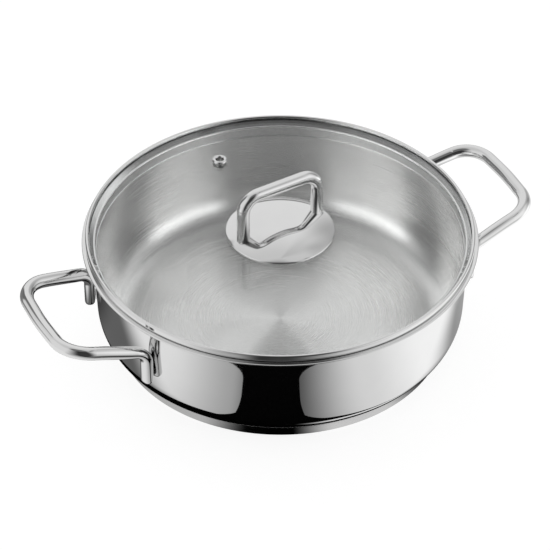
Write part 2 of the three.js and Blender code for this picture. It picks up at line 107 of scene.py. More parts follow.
RING_TOP = glass_top(GLASS_RADIUS) + BEAD_HEIGHT
VENT_DISTANCE = GLASS_RADIUS - VENT_INSET
PLATE_EDGE = glass_top(PLATE_RADIUS) + PLATE_CLEARANCE
PLATE_SHOULDER = PLATE_EDGE + PLATE_LIP
DOME_RADIUS = (PLATE_RADIUS ** 2 + PLATE_RISE ** 2) / (2 * PLATE_RISE)
DOME_Z = PLATE_SHOULDER + PLATE_RISE - DOME_RADIUS
SCREW_HOLE = SCREW / 2 + SEAT_GAP
SEAL_TOP = GLASS_CROWN - GLASS - SEAT_GAP
SEAL_BOTTOM = SEAL_TOP - SEAL
WASHER_TOP = SEAL_BOTTOM - SEAT_GAP
WASHER_BOTTOM = WASHER_TOP - WASHER
HEAD_TOP = WASHER_BOTTOM - SEAT_GAP
HEAD_BOTTOM = HEAD_TOP - SCREW_HEAD_HEIGHT
BOSS_TOP = DOME_Z + DOME_RADIUS - PLATE_SHEET - 2 * SEAT_GAP

# Fineness of the meshes
SIDES = 256
SMALL_SIDES = 96
ARC_STEP = radians(3)
FOLD_STEP = radians(8)
EDGE_STEP = radians(15)
TRIM_STEP = radians(30)
BEAD_STEP, CHANNEL_STEP, ROUND_STEP = radians(6), radians(12), radians(10)
HEM_STEP, HEM_TOP_STEP, CROWN_STEP = radians(20), radians(9), radians(5)
DOME_STEP, UNDER_DOME_STEP = radians(0.7), radians(1)
HANDLE_STEP = 1.5
SUPPORT = 0.3
SHARP = radians(32)
SAME = 1e-6
BEVEL_STEPS = 4


# Meshes

def arc(x, z, radius, start, end, step=ARC_STEP):
    """Points on an arc in the plane of a profile, as (radius, height) pairs."""
    count = max(2, ceil(abs(end - start) / step))
    angles = [start + (end - start) * i / count for i in range(count + 1)]
    return [(x + radius * cos(a), z + radius * sin(a)) for a in angles]


def rounded(corners, radius):
    """A closed profile with each corner rounded."""
    points = []
    for i, corner in enumerate(corners):
        here = Vector(corner)
        before = (Vector(corners[i - 1]) - here).normalized()
        after = (Vector(corners[(i + 1) % len(corners)]) - here).normalized()
        half = acos(max(-1, min(1, before.dot(after)))) / 2
        reach = radius / tan(half)
        centre = here + (before + after).normalized() * (radius / sin(half))
        start = here + before * reach - centre
        end = here + after * reach - centre
        turn = start.angle_signed(end)
        first = atan2(start.y, start.x)
        points += arc(centre.x, centre.y, radius, first, first - turn, EDGE_STEP)
    return points


def support(a, b):
    """Two points close to the ends of a long straight, which keep the shading of the bends beside it."""
    gap = hypot(b[0] - a[0], b[1] - a[1])
    if gap < 4 * SUPPORT:
        return []
    share = SUPPORT / gap
    near = (a[0] + (b[0] - a[0]) * share, a[1] + (b[1] - a[1]) * share)
    far = (b[0] - (b[0] - a[0]) * share, b[1] - (b[1] - a[1]) * share)
    return [near, far]


def smooth(mesh):
    mesh.shade_smooth()
    mesh.set_sharp_from_angle(angle=SHARP)


def place_mesh(name, mesh):
    obj = bpy.data.objects.new(name, mesh)
    bpy.context.scene.collection.objects.link(obj)
    return obj


def build_object(name, vertices, faces, slots, materials):
    mesh = bpy.data.meshes.new(name)
    mesh.from_pydata([(x * MM, y * MM, z * MM) for x, y, z in vertices], [], faces)
    for item in materials:
        mesh.materials.append(item)
    mesh.polygons.foreach_set("material_index", slots)
    smooth(mesh)
    mesh.update()
    return place_mesh(name, mesh)


def lathe(name, sections, materials, sides=SIDES, closed=True, place=None):
    """Turns profile sections, each (points, material slot), round +Z. The profile runs anticlockwise."""
    profile = []
    slot_of = []
    for points, slot in sections:
        if profile:
            bridge = support(profile[-1], points[0])
            profile += bridge
            slot_of += [slot] * len(bridge)
        for point in points:
            if not profile or hypot(point[0] - profile[-1][0], point[1] - profile[-1][1]) > SAME:
                profile.append(point)
                slot_of.append(slot)
    if closed:
        bridge = support(profile[-1], profile[0])
        profile += bridge
        slot_of += [sections[0][1]] * len(bridge)
    place = place or Matrix.Identity(4)
    vertices = []
    rings = []
    for r, z in profile:
        first = len(vertices)
        if r < SAME:
            rings.append([first] * sides)
            vertices.append(place @ Vector((0, 0, z)))
            continue
        rings.append(list(range(first, first + sides)))
        for k in range(sides):
            angle = 2 * pi * k / sides
            vertices.append(place @ Vector((r * cos(angle), r * sin(angle), z)))
    faces = []
    slots = []
    last = len(rings) if closed else len(rings) - 1
    for i in range(last):
        low = rings[i]
        high = rings[(i + 1) % len(rings)]
        for k in range(sides):
            n = (k + 1) % sides
            corners = list(dict.fromkeys([low[k], low[n], high[n], high[k]]))
            if len(corners) > 2:
                faces.append(corners)
                slots.append(slot_of[(i + 1) % len(rings)])
    return build_object(name, vertices, faces, slots, materials)


def bent_path(vertices, radii, line_step=2.0, bend_steps=30):
    """Stations (place, tangent, length so far) on straight runs that are joined by round bends."""
    stations = []

    def add(place, tangent):
        along = 0.0
        if stations:
            along = stations[-1][2] + (place - stations[-1][0]).length
            if along - stations[-1][2] < SAME:
                return
        stations.append((place, tangent, along))

    def run(start, end):
        length = (end - start).length
        tangent = (end - start).normalized()
        count = max(2, ceil(length / line_step))
        for i in range(count + 1):
            add(start.lerp(end, i / count), tangent)

    start = vertices[0]
    for i, radius in enumerate(radii, 1):
        before = (vertices[i - 1] - vertices[i]).normalized()
        after = (vertices[i + 1] - vertices[i]).normalized()
        turn = pi - before.angle(after)
        reach = radius * tan(turn / 2)
        enter = vertices[i] + before * reach
        run(start, enter)
        centre = vertices[i] + (before + after).normalized() * (radius / cos(turn / 2))
        axis = (-before).cross(after).normalized()
        for k in range(1, bend_steps + 1):
            spin = Quaternion(axis, turn * k / bend_steps)
            add(centre + spin @ (enter - centre), spin @ -before)
        start = vertices[i] + after * reach
    run(start, vertices[-1])
    return stations


def section_point(half, angle):
    """A point of a rounded oblong section: two half sizes and a squareness, 2 for an ellipse."""
    thin, wide, squareness = half
    c, s = cos(angle), sin(angle)
    power = 2 / squareness
    x = thin * abs(c) ** power * (1 if c >= 0 else -1)
    y = wide * abs(s) ** power * (1 if s >= 0 else -1)
    return x, y


def sweep(name, stations, thin_axis, section_at, materials, sides=64, place=None, foot=None):
    """Sweeps a section along stations (place, tangent, length, shrink), without twist."""
    place = place or Matrix.Identity(4)
    axis = thin_axis.copy()
    previous = stations[0][1]
    vertices = []
    for i, (centre, tangent, along, shrink) in enumerate(stations):
        axis = previous.rotation_difference(tangent) @ axis
        previous = tangent
        wide_axis = tangent.cross(axis)
        half = section_at(along)
        for k in range(sides):
            thin, wide = section_point(half, 2 * pi * k / sides)
            v = centre + axis * (thin * shrink) + wide_axis * (wide * shrink)
            if foot and i in (0, len(stations) - 1):
                v.z = foot(v.x, v.y)
            vertices.append(place @ v)
    faces = []
    for i in range(len(stations) - 1):
        for k in range(sides):
            a = i * sides + k
            b = i * sides + (k + 1) % sides
            faces.append((a, b, b + sides, a + sides))
    end = (len(stations) - 1) * sides
    faces.append(tuple(range(sides - 1, -1, -1)))
    faces.append(tuple(range(end, end + sides)))
    return build_object(name, vertices, faces, [0] * len(faces), materials)


def carve(obj, cutter):
    """Cuts one object out of another and removes the cutter."""
    modifier = obj.modifiers.new("carve", "BOOLEAN")
    modifier.operation = "DIFFERENCE"
    modifier.solver = "EXACT"
    modifier.object = cutter
    graph = bpy.context.evaluated_depsgraph_get()
    mesh = bpy.data.meshes.new_from_object(obj.evaluated_get(graph))
    obj.modifiers.remove(modifier)
    obj.data = mesh
    bpy.data.objects.remove(cutter)
    smooth(mesh)


def block(name, size, bevel, place, materials):
    """A box with rounded edges."""
    shape = bmesh.new()
    bmesh.ops.create_cube(shape, size=1)
    bmesh.ops.scale(shape, vec=Vector(size) * MM, verts=shape.verts)
    if bevel:
        bmesh.ops.bevel(
            shape, geom=shape.edges[:], offset=bevel * MM, segments=BEVEL_STEPS, profile=0.5, affect="EDGES"
        )
    scaled = place.copy()
    scaled.translation = place.translation * MM
    bmesh.ops.transform(shape, matrix=scaled, verts=shape.verts)
    mesh = bpy.data.meshes.new(name)
    shape.to_mesh(mesh)
    shape.free()
    for item in materials:
        mesh.materials.append(item)
    smooth(mesh)
    return place_mesh(name, mesh)


# Finishes: noise scales per metre, and bump depths and drift in metres
CLOUD_SCALE = 28.0
POLISH_SCALE, POLISH_ROUGHNESS, POLISH_BUMP, POLISH_DEPTH = 900.0, 0.012, 0.05, 0.00002
POLISH_LOW, POLISH_HIGH = (0.80, 0.80, 0.80, 1.0), (0.83, 0.83, 0.828, 1.0)
FINE_MARKS, FINE_SHARE, FINE_ROUGHNESS, FINE_TONE = 1900.0, 0.3, 0.03, 0.93
COARSE_MARKS, PATCH_SCALE, PATCH_ROUGHNESS = 330.0, 17.0, 0.02
MARK_DEPTH, MARK_DRIFT = 0.00003, 0.00022
GRAIN_BUMP, GRAIN_DEPTH, GRAIN_ROUGHNESS, GRAIN_TONE = 0.2, 0.00005, 0.05, 0.88
WAVE_SCALE, WAVE_BUMP, WAVE_DEPTH = 14.0, 0.05, 0.0001
SMEAR_SCALE, SMEAR_ROUGHNESS = 40.0, 0.01
GLASS_INDEX = 1.5
GLASS_TINT, GLASS_DENSITY = (0.58, 0.86, 0.76, 1.0), 6.0
ACROSS_MARKS = 0.25

# Turned marks by distance from the axis: from, to, and the strength there
RING_FADE = 0.012, 0.095, 1.0, 0.08
MARK_BUMP = 0.03, 0.11, 0.18, 0.05


# Shader graphs

class Graph:
    """Adds nodes to a node tree, setting or linking their inputs."""

    def __init__(self, tree):
        self.tree = tree
        tree.nodes.clear()

    def add(self, kind, values=None, **settings):
        node = self.tree.nodes.new(kind)
        for key, value in settings.items():
            setattr(node, key, value)
        for key, value in (values or {}).items():
            if isinstance(value, bpy.types.NodeSocket):
                self.tree.links.new(value, node.inputs[key])
            else:
                node.inputs[key].default_value = value
        return node

    def math(self, operation, *values):
        return self.add("ShaderNodeMath", dict(enumerate(values)), operation=operation).outputs[0]

    def vector(self, operation, *values, output="Vector", scale=None):
        inputs = dict(enumerate(values))
        if scale is not None:
            inputs["Scale"] = scale
        return self.add("ShaderNodeVectorMath", inputs, operation=operation).outputs[output]

    def ramp(self, value, low, high, out_low=0.0, out_high=1.0):
        """Smooth step from out_low at low to out_high at high."""
        values = {"Value": value, "From Min": low, "From Max": high, "To Min": out_low, "To Max": out_high}
        return self.add("ShaderNodeMapRange", values, interpolation_type="SMOOTHSTEP").outputs["Result"]

    def spread(self, value, out_low, out_high):
        """Maps the middle of a noise to a range."""
        values = {"Value": value, "From Min": 0.3, "From Max": 0.7, "To Min": out_low, "To Max": out_high}
        return self.add("ShaderNodeMapRange", values).outputs["Result"]

    def noise(self, vector, scale, detail=3.0, roughness=0.55):
        values = {"Vector": vector, "Scale": scale, "Detail": detail, "Roughness": roughness}
        return self.add("ShaderNodeTexNoise", values).outputs["Fac"]

    def bump(self, height, strength, depth):
        values = {"Height": height, "Strength": strength, "Distance": depth}
        return self.add("ShaderNodeBump", values).outputs[0]

    def mix_color(self, factor, a, b):
        """Mix of two colours, whose sockets are found by place because their names repeat."""
        return self.add("ShaderNodeMix", {"Factor": factor, 6: a, 7: b}, data_type="RGBA").outputs[2]


def grey(value):
    return (value, value, value, 1.0)


def duller(tone, share):
    return tuple(c * share for c in tone[:3]) + (1.0,)


def new_material(name):
    item = bpy.data.materials.new(name)
    item.use_nodes = True
    return item, Graph(item.node_tree)


def surface(graph, values, volume=None):
    sockets = {"Surface": graph.add("ShaderNodeBsdfPrincipled", values).outputs[0]}
    if volume:
        sockets["Volume"] = volume
    graph.add("ShaderNodeOutputMaterial", sockets)


def place_of(graph):
    return graph.add("ShaderNodeTexCoord").outputs["Object"]


def cylinder_coordinates(graph):
    """Distance from the axis, unit vector away from it and height."""
    place = place_of(graph)
    level = graph.vector("MULTIPLY", place, (1.0, 1.0, 0.0))
    height = graph.add("ShaderNodeSeparateXYZ", {0: place}).outputs[2]
    return graph.vector("LENGTH", level, output="Value"), graph.vector("NORMALIZE", level), height


def polished_material(name, low, high):
    """Mirror polish: a clear reflection with slight clouding and faint polishing lines."""
    item, graph = new_material(name)
    place = place_of(graph)
    cloud = graph.noise(place, CLOUD_SCALE, 2.0)
    fine = graph.noise(place, POLISH_SCALE, 3.0)
    tone = graph.mix_color(graph.spread(cloud, 0.0, 1.0), POLISH_LOW, POLISH_HIGH)
    lines = graph.spread(fine, 0.0, POLISH_ROUGHNESS)
    roughness = graph.math("ADD", graph.spread(cloud, low, high), lines)
    bump = graph.bump(fine, POLISH_BUMP, POLISH_DEPTH)
    surface(graph, {"Base Color": tone, "Metallic": 1.0, "Roughness": roughness, "Normal": bump})
    return item


def turned_material(name, tone, roughness, anisotropy, rings):
    """Satin steel with turned marks round the axis: rings on the floor and lines on the wall."""
    item, graph = new_material(name)
    r, outward, z = cylinder_coordinates(graph)
    along = graph.add("ShaderNodeCombineXYZ", {2: graph.math("ADD", r, z)}).outputs[0]
    marks = graph.vector("ADD", along, graph.vector("SCALE", outward, scale=MARK_DRIFT))
    fine = graph.noise(marks, FINE_MARKS, 4.0, 0.6)
    coarse = graph.noise(marks, COARSE_MARKS, 2.0)
    patch = graph.noise(place_of(graph), PATCH_SCALE, 2.0)
    near = graph.ramp(r, *RING_FADE)
    height = graph.math("MULTIPLY", graph.math("MULTIPLY", coarse, near), rings)
    height = graph.math("MULTIPLY_ADD", fine, FINE_SHARE, height)
    strength = graph.ramp(r, *MARK_BUMP)
    color = graph.mix_color(graph.spread(fine, 0.0, 1.0), duller(tone, FINE_TONE), tone)
    rough = graph.spread(patch, roughness - PATCH_ROUGHNESS, roughness + PATCH_ROUGHNESS)
    rough = graph.math("ADD", graph.spread(fine, -FINE_ROUGHNESS, FINE_ROUGHNESS), rough)
    tangent = graph.add("ShaderNodeTangent", direction_type="RADIAL", axis="Z").outputs[0]
    surface(
        graph,
        {
            "Base Color": color,
            "Metallic": 1.0,
            "Roughness": rough,
            "Anisotropic": anisotropy,
            "Anisotropic Rotation": ACROSS_MARKS,
            "Tangent": tangent,
            "Normal": graph.bump(height, strength, MARK_DEPTH),
        },
    )
    return item


def plain_material(name, tone, metallic, roughness, grain):
    """Plain finish with a fine grain in colour, gloss and bump."""
    item, graph = new_material(name)
    speck = graph.noise(place_of(graph), grain, 4.0)
    color = graph.mix_color(graph.spread(speck, 0.0, 1.0), duller(tone, GRAIN_TONE), tone)
    bump = graph.bump(speck, GRAIN_BUMP, GRAIN_DEPTH)
    rough = graph.spread(speck, roughness - GRAIN_ROUGHNESS, roughness + GRAIN_ROUGHNESS)
    surface(graph, {"Base Color": color, "Metallic": metallic, "Roughness": rough, "Normal": bump})
    return item


def glass_material(name):
    """Clear glass that is green along its edge, with the slight waviness of tempering."""
    item, graph = new_material(name)
    wave = graph.noise(place_of(graph), WAVE_SCALE, 1.0)
    smear = graph.noise(place_of(graph), SMEAR_SCALE, 3.0)
    values = {"Color": GLASS_TINT, "Density": GLASS_DENSITY}
    absorption = graph.add("ShaderNodeVolumeAbsorption", values).outputs[0]
    surface(
        graph,
        {
            "Base Color": grey(1.0),
            "Roughness": graph.spread(smear, 0.0, SMEAR_ROUGHNESS),
            "IOR": GLASS_INDEX,
            "Transmission Weight": 1.0,
            "Normal": graph.bump(wave, WAVE_BUMP, WAVE_DEPTH),
        },
        absorption,
    )
    return item


INSIDE_STEEL = (0.89, 0.888, 0.883, 1.0)
SIDE_STEEL = (0.78, 0.778, 0.775, 1.0)
SMALL_STEEL = (0.62, 0.62, 0.615, 1.0)
PALE_STEEL = (0.9, 0.9, 0.895, 1.0)
# Near-black stud steel: a painted reflection of the shaded table beside the pan's foot, which the studs
# mirror
STUD_PAINTED_REFLECTION = grey(0.1)
ALUMINIUM = (0.70, 0.71, 0.73, 1.0)
SILICONE = (0.72, 0.73, 0.71, 1.0)

polished = polished_material("polished_steel", low=0.02, high=0.045)
satin_inside = turned_material("satin_inside", INSIDE_STEEL, roughness=0.25, anisotropy=1.0, rings=3.0)
satin_side = turned_material("satin_side", SIDE_STEEL, roughness=0.17, anisotropy=0.5, rings=0.0)
satin_small = plain_material("satin_steel", SMALL_STEEL, metallic=1.0, roughness=0.3, grain=700.0)
skirt_steel = plain_material("skirt_steel", PALE_STEEL, metallic=1.0, roughness=0.34, grain=400.0)
edge_steel = plain_material("edge_steel", PALE_STEEL, metallic=1.0, roughness=0.6, grain=900.0)
# Stud steel painted near black, a painted reflection of the shaded table beside the foot
stud_painted_reflection = plain_material("stud_painted_reflection", STUD_PAINTED_REFLECTION, metallic=1.0, roughness=0.4, grain=900.0)
aluminium = plain_material("aluminium", ALUMINIUM, metallic=1.0, roughness=0.4, grain=500.0)
silicone = plain_material("silicone", SILICONE, metallic=0.0, roughness=0.6, grain=900.0)
glass = glass_material("clear_glass")


# Pan

def outside_at(z):
    """Outside of the shell at a height on the straight wall."""
    return MOUTH_RADIUS - (FLARE_HEIGHT - z) * tan(WALL_DRAFT)


def finish_piece(obj, body, slot, *nodes):
    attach(obj, body)
    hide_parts(*nodes)


HALF_SHELL = SHELL / 2
INNER_RING = 60
FLOOR_RINGS = (90, 60, 30, 10, 0)
RIM_FALL = radians(12)
RIM_END = QUARTER - RIM_FALL
ROLL_X = FLARE_X
ROLL = (RIM_RADIUS - HALF_SHELL - ROLL_X) / sin(RIM_FALL)
ROLL_Z = RIM_TOP - HALF_SHELL - ROLL
RIM_EDGE = (ROLL_X + ROLL * cos(RIM_END), ROLL_Z + ROLL * sin(RIM_END))
shell = lathe(
    "pressed_shell",
    [
        ([(0, SHELL_BOTTOM), (INNER_RING, SHELL_BOTTOM)], 0),
        (arc(BEND_X, BEND_Z, BEND_RADIUS, -QUARTER, -WALL_DRAFT), 0),
        (arc(FLARE_X, FLARE_HEIGHT, FLARE, pi - WALL_DRAFT, QUARTER), 0),
        (arc(ROLL_X, ROLL_Z, ROLL - HALF_SHELL, QUARTER, RIM_END), 0),
        (arc(*RIM_EDGE, HALF_SHELL, RIM_END - pi, RIM_END, EDGE_STEP), 0),
        (arc(ROLL_X, ROLL_Z, ROLL + HALF_SHELL, RIM_END, QUARTER), 0),
        (arc(FLARE_X, FLARE_HEIGHT, FLARE_TOP, QUARTER, pi - WALL_DRAFT), 0),
        (arc(BEND_X, BEND_Z, BEND_RADIUS - SHELL, -WALL_DRAFT, -QUARTER), 1),
        ([(r, FLOOR_TOP) for r in FLOOR_RINGS], 1),
    ],
    [polished, satin_inside],
    closed=False,
)
finish_piece(shell, "pan", "polished_steel", "pan_body")

UNDER_BEND = BEND_RADIUS + SEAT_GAP
CAP_INNER = BASE_RADIUS - CAP
CAP_EDGE, CAP_EDGE_TURN, CAP_EDGE_DROP = 0.6, 1.9, 0.1
CAP_ROUND = 1.5


def under_bend(r):
    return BEND_Z - sqrt(UNDER_BEND ** 2 - (r - BEND_X) ** 2)


CAP_EDGE_Z = under_bend(BASE_RADIUS) - CAP_EDGE - CAP_EDGE_DROP
capsule = lathe(
    "capsule",
    [
        ([(0, 0), (INNER_RING, 0)], 0),
        (arc(BASE_RADIUS - CAP_CORNER, CAP_CORNER, CAP_CORNER, -QUARTER, 0, FOLD_STEP), 0),
        ([(BASE_RADIUS, CAP_EDGE_Z)], 0),
        (arc(BASE_RADIUS - CAP_EDGE, CAP_EDGE_Z, CAP_EDGE, 0, CAP_EDGE_TURN, ROUND_STEP), 1),
        ([(CAP_INNER, under_bend(CAP_INNER))], 1),
        (arc(CAP_INNER - CAP_ROUND, CAP + CAP_ROUND, CAP_ROUND, 0, -QUARTER, EDGE_STEP), 0),
        ([(INNER_RING, CAP), (0, CAP)], 0),
    ],
    [satin_side, edge_steel],
    closed=False,
)
finish_piece(capsule, "pan", "polished_steel", "base_cap")

ARM_HEIGHT = RIM_TOP - HANDLE_DROP
FOOT_HEIGHT = ARM_HEIGHT - LEG_LENGTH
STUD_MIDDLE = FOOT_HEIGHT + STUD_ABOVE_FOOT
LEG_HALF = (LEG_THICKNESS / 2, LEG_WIDTH / 2, LEG_SQUARENESS)
BAR_HALF = (BAR / 2, BAR / 2, BAR_SQUARENESS)
WALL_AT_STUD = outside_at(STUD_MIDDLE)
LEG_RADIUS = WALL_AT_STUD + LEG_STANDOFF + LEG_THICKNESS / 2
LEG_ANGLE = asin(LEG_SPACING / 2 / LEG_RADIUS)
LEG_TAPER = 3 * LEG_BEND
ARM_ARCH = 1.5
ARCH_SCALE = 27 / 4
STUD_BEVEL = 0.2


def rounded_ends(stations, tip, steps=12):
    """Adds a shrink to each station and spreads the first and last over a rounded tip."""
    total = stations[-1][2]
    first = []
    last = []
    for k in range(1, steps + 1):
        depth = tip * (1 - cos(QUARTER * k / steps))
        shrink = sin(QUARTER * k / steps)
        place, tangent, _ = stations[0]
        first.append((place + tangent * depth, tangent, depth, shrink))
        place, tangent, _ = stations[-1]
        last.insert(0, (place - tangent * depth, tangent, total - depth, shrink))
    middle = [s + (1.0,) for s in stations if tip < s[2] < total - tip]
    return first + middle + last


def clamp(value):
    return max(0.0, min(1.0, value))


def smooth_step(value, low, high):
    t = clamp((value - low) / (high - low))
    return t * t * (3 - 2 * t)


def loop_handle(name, place):
    leg_x = LEG_RADIUS * cos(LEG_ANGLE)
    half = LEG_SPACING / 2
    outer_x = MOUTH_RADIUS + HANDLE_REACH
    outer_z = ARM_HEIGHT + HANDLE_RISE
    corner_x = outer_x - HANDLE_BOW
    vertices = [
        Vector((leg_x, -half, FOOT_HEIGHT)),
        Vector((leg_x, -half, ARM_HEIGHT)),
        Vector((corner_x, -ARM_SPACING / 2, outer_z)),
        Vector((outer_x, 0, outer_z)),
        Vector((corner_x, ARM_SPACING / 2, outer_z)),
        Vector((leg_x, half, ARM_HEIGHT)),
        Vector((leg_x, half, FOOT_HEIGHT)),
    ]
    bow = (ARM_SPACING / 4) ** 2 / HANDLE_BOW
    stations = bent_path(vertices, [LEG_BEND, HANDLE_CORNER, bow, HANDLE_CORNER, LEG_BEND], HANDLE_STEP)
    total = stations[-1][2]
    for spot, _, _ in stations:
        share = clamp((spot.x - leg_x) / (corner_x - leg_x))
        spot.z += ARM_ARCH * ARCH_SCALE * share ** 2 * (1 - share)
    leg_end = LEG_LENGTH - LEG_BEND

    def section_at(along):
        mix = smooth_step(min(along, total - along), leg_end, leg_end + LEG_TAPER)
        return tuple(a + (b - a) * mix for a, b in zip(LEG_HALF, BAR_HALF))

    thin_axis = Vector((cos(LEG_ANGLE), -sin(LEG_ANGLE), 0))
    return sweep(name, rounded_ends(stations, LEG_TIP), thin_axis, section_at, [polished], place=place)


HANDLES = (("right", 0, {"front": -1, "rear": 1}), ("left", pi, {"front": 1, "rear": -1}))
for side_name, turn, legs in HANDLES:
    half_turn = Matrix.Rotation(turn, 4, "Z")
    handle = loop_handle(f"{side_name}_loop", half_turn)
    finish_piece(handle, "pan", "polished_steel", f"{side_name}_handle")
    length = LEG_STANDOFF - 2 * SEAT_GAP
    for leg_name, side in legs.items():
        reach = Matrix.Translation((WALL_AT_STUD + LEG_STANDOFF / 2, 0, STUD_MIDDLE))
        spot = half_turn @ Matrix.Rotation(side * LEG_ANGLE, 4, "Z") @ reach
        # The studs take the steel painted near black: a painted reflection of the shaded table by the foot
        stud = block(f"{side_name}_{leg_name}_stud", (length, STUD, STUD), STUD_BEVEL, spot, [stud_painted_reflection])
        finish_piece(stud, "pan", "satin_steel", f"{side_name}_{leg_name}_weld_stud")

# Lid

lid_place = Matrix.Rotation(LID_TURN, 4, "Z")
HEM_INNER = SKIRT_INNER - HEM_DEPTH
SKIRT_BOTTOM = FLANGE_BOTTOM - SKIRT_HEIGHT
HEM_TOP = SKIRT_BOTTOM + HEM_HEIGHT
SEAT_INNER = GLASS_RADIUS - SEAT_WIDTH
BEAD = BEAD_WIDTH / 2
BEAD_X = RING_OUTER - BEAD
BEAD_Z = RING_TOP - BEAD
BEAD_TIP = glass_top(GLASS_RADIUS) + SEAT_GAP
LEDGE_OUTER = SKIRT_OUTER + LEDGE_WIDTH
HEM_ROUND = HEM_DEPTH / 2
HEM_LINE = 0.2
SHEET_ROUND = 0.2
SEAT_ROUND = 1.2
FOLD = 0.6
FOLD_X = SKIRT_OUTER + FOLD
FOLD_Z = FLANGE_BOTTOM - FOLD_DROP - FOLD
ring_profile = [
    (arc(HEM_INNER + HEM_ROUND, SKIRT_BOTTOM + HEM_ROUND, HEM_ROUND, pi, 1.5 * pi, HEM_STEP), 0),
    (arc(SKIRT_OUTER - SHEET_ROUND, SKIRT_BOTTOM + SHEET_ROUND, SHEET_ROUND, -QUARTER, 0, TRIM_STEP), 0),
    (arc(FOLD_X, FOLD_Z, FOLD, pi, QUARTER, FOLD_STEP), 0),
    ([(LEDGE_OUTER, FLANGE_BOTTOM - FOLD_DROP)], 0),
    ([(SEAT_INNER, FLANGE_BOTTOM)], 0),
    (arc(CORNER_X, FLANGE_BOTTOM + RING_CORNER, RING_CORNER, -QUARTER, 0, BEAD_STEP), 0),
    (arc(BEAD_X, BEAD_Z, BEAD, 0, pi, BEAD_STEP), 0),
    ([(BEAD_X - BEAD, BEAD_TIP), (BEAD_X - BEAD + STRIP, BEAD_TIP)], 0),
    (arc(BEAD_X, BEAD_Z, BEAD - STRIP, pi, 0, CHANNEL_STEP), 0),
    (arc(CHANNEL_OUTER - SEAT_ROUND, FLANGE_TOP + SEAT_ROUND, SEAT_ROUND, 0, -QUARTER, CHANNEL_STEP), 0),
    ([(SEAT_INNER, FLANGE_TOP)], 0),
    ([(LEDGE_OUTER - STRIP, FLANGE_TOP - FOLD_DROP)], 0),
    (arc(FOLD_X, FOLD_Z, FOLD + STRIP, QUARTER, pi, FOLD_STEP), 0),
    ([(SKIRT_INNER, HEM_TOP + HEM_LINE)], 1),
    (arc(SKIRT_INNER, HEM_TOP - HEM_DEPTH, HEM_DEPTH, QUARTER, pi, HEM_TOP_STEP), 0),
]
ring = lathe("rolled_ring", ring_profile, [polished, skirt_steel], place=lid_place)
finish_piece(ring, "lid", "polished_steel", "lid_rim_ring")

GLASS_HOLE = SCREW_HOLE + SEAL_COLLAR + SEAT_GAP
FACE_EDGE = GLASS_RADIUS - GLASS_EDGE
GLASS_RIM = glass_top(GLASS_RADIUS)
FACE_COUNT = 12
face_radii = [GLASS_HOLE + (FACE_EDGE - GLASS_HOLE) * i / FACE_COUNT for i in range(FACE_COUNT + 1)]
disc = lathe(
    "glass_disc",
    [
        ([(r, glass_top(r) - GLASS) for r in face_radii], 0),
        (arc(FACE_EDGE, GLASS_RIM - GLASS + GLASS_EDGE, GLASS_EDGE, -QUARTER, 0, EDGE_STEP), 0),
        (arc(FACE_EDGE, GLASS_RIM - GLASS_EDGE, GLASS_EDGE, 0, QUARTER, EDGE_STEP), 0),
        ([(r, glass_top(r)) for r in face_radii[::-1]], 0),
    ],
    [glass],
    place=lid_place,
)
vent_place = lid_place @ Matrix.Rotation(VENT_ANGLE, 4, "Z")
vent_place = vent_place @ Matrix.Translation((VENT_DISTANCE, 0, glass_top(VENT_DISTANCE)))
VENT_INNER = VENT_BORE / 2
VENT_OUTER = VENT_INNER + VENT_WALL
VENT_HOLE = VENT_OUTER + SEAT_GAP
DRILL = 4 * GLASS
drill_profile = [(0, -DRILL), (VENT_HOLE, -DRILL), (VENT_HOLE, DRILL), (0, DRILL)]
drill = lathe("drill", [(drill_profile, 0)], [glass], SMALL_SIDES, closed=False, place=vent_place)
carve(disc, drill)
finish_piece(disc, "lid", "clear_glass", "lid_glass")

FLANGE = VENT_FLANGE / 2
CROWN = (FLANGE - VENT_INNER) / 2
VENT_WASHER_BOTTOM = -GLASS - SEAT_GAP - VENT_WASHER
CURL_TOP = VENT_WASHER_BOTTOM - SEAT_GAP
CURL_BOTTOM = CURL_TOP - VENT_WALL
CURL_RADIUS = VENT_HOLE + VENT_WALL
CURL_ROUND = 0.35
VENT_ROUND = 0.3
eyelet = lathe(
    "eyelet",
    [
        (arc(VENT_INNER + CURL_ROUND, CURL_BOTTOM + CURL_ROUND, CURL_ROUND, pi, 1.5 * pi, EDGE_STEP), 0),
        (arc(CURL_RADIUS - VENT_ROUND, CURL_BOTTOM + VENT_ROUND, VENT_ROUND, -QUARTER, 0, EDGE_STEP), 0),
        ([(CURL_RADIUS, CURL_TOP), (VENT_OUTER, CURL_TOP), (VENT_OUTER, SEAT_GAP)], 0),
        (arc(FLANGE - VENT_ROUND, SEAT_GAP + VENT_ROUND, VENT_ROUND, -QUARTER, 0, EDGE_STEP), 0),
        (arc(VENT_INNER + CROWN, VENT_HEIGHT - CROWN, CROWN, 0, pi, CROWN_STEP), 0),
    ],
    [polished],
    SMALL_SIDES,
    place=vent_place,
)
finish_piece(eyelet, "lid", "polished_steel", "vent_eyelet")

VENT_WASHER_ROUND, GASKET_ROUND, SEAL_ROUND, WASHER_ROUND = 0.15, 0.3, 0.25, 0.2


def tube(name, inner, outer, bottom, top, radius, material, place=lid_place):
    """A plain ring with rounded edges."""
    corners = [(inner, bottom), (outer, bottom), (outer, top), (inner, top)]
    return lathe(name, [(rounded(corners, radius), 0)], [material], SMALL_SIDES, place=place)


vent_washer = tube(
    "eyelet_washer",
    VENT_HOLE,
    VENT_HOLE + VENT_WASHER_RIM,
    VENT_WASHER_BOTTOM,
    -GLASS - SEAT_GAP,
    VENT_WASHER_ROUND,
    satin_small,
    vent_place,
)
finish_piece(vent_washer, "lid", "satin_steel", "vent_washer")


def dome_z(r, radius=DOME_RADIUS):
    return DOME_Z + sqrt(radius ** 2 - r ** 2)


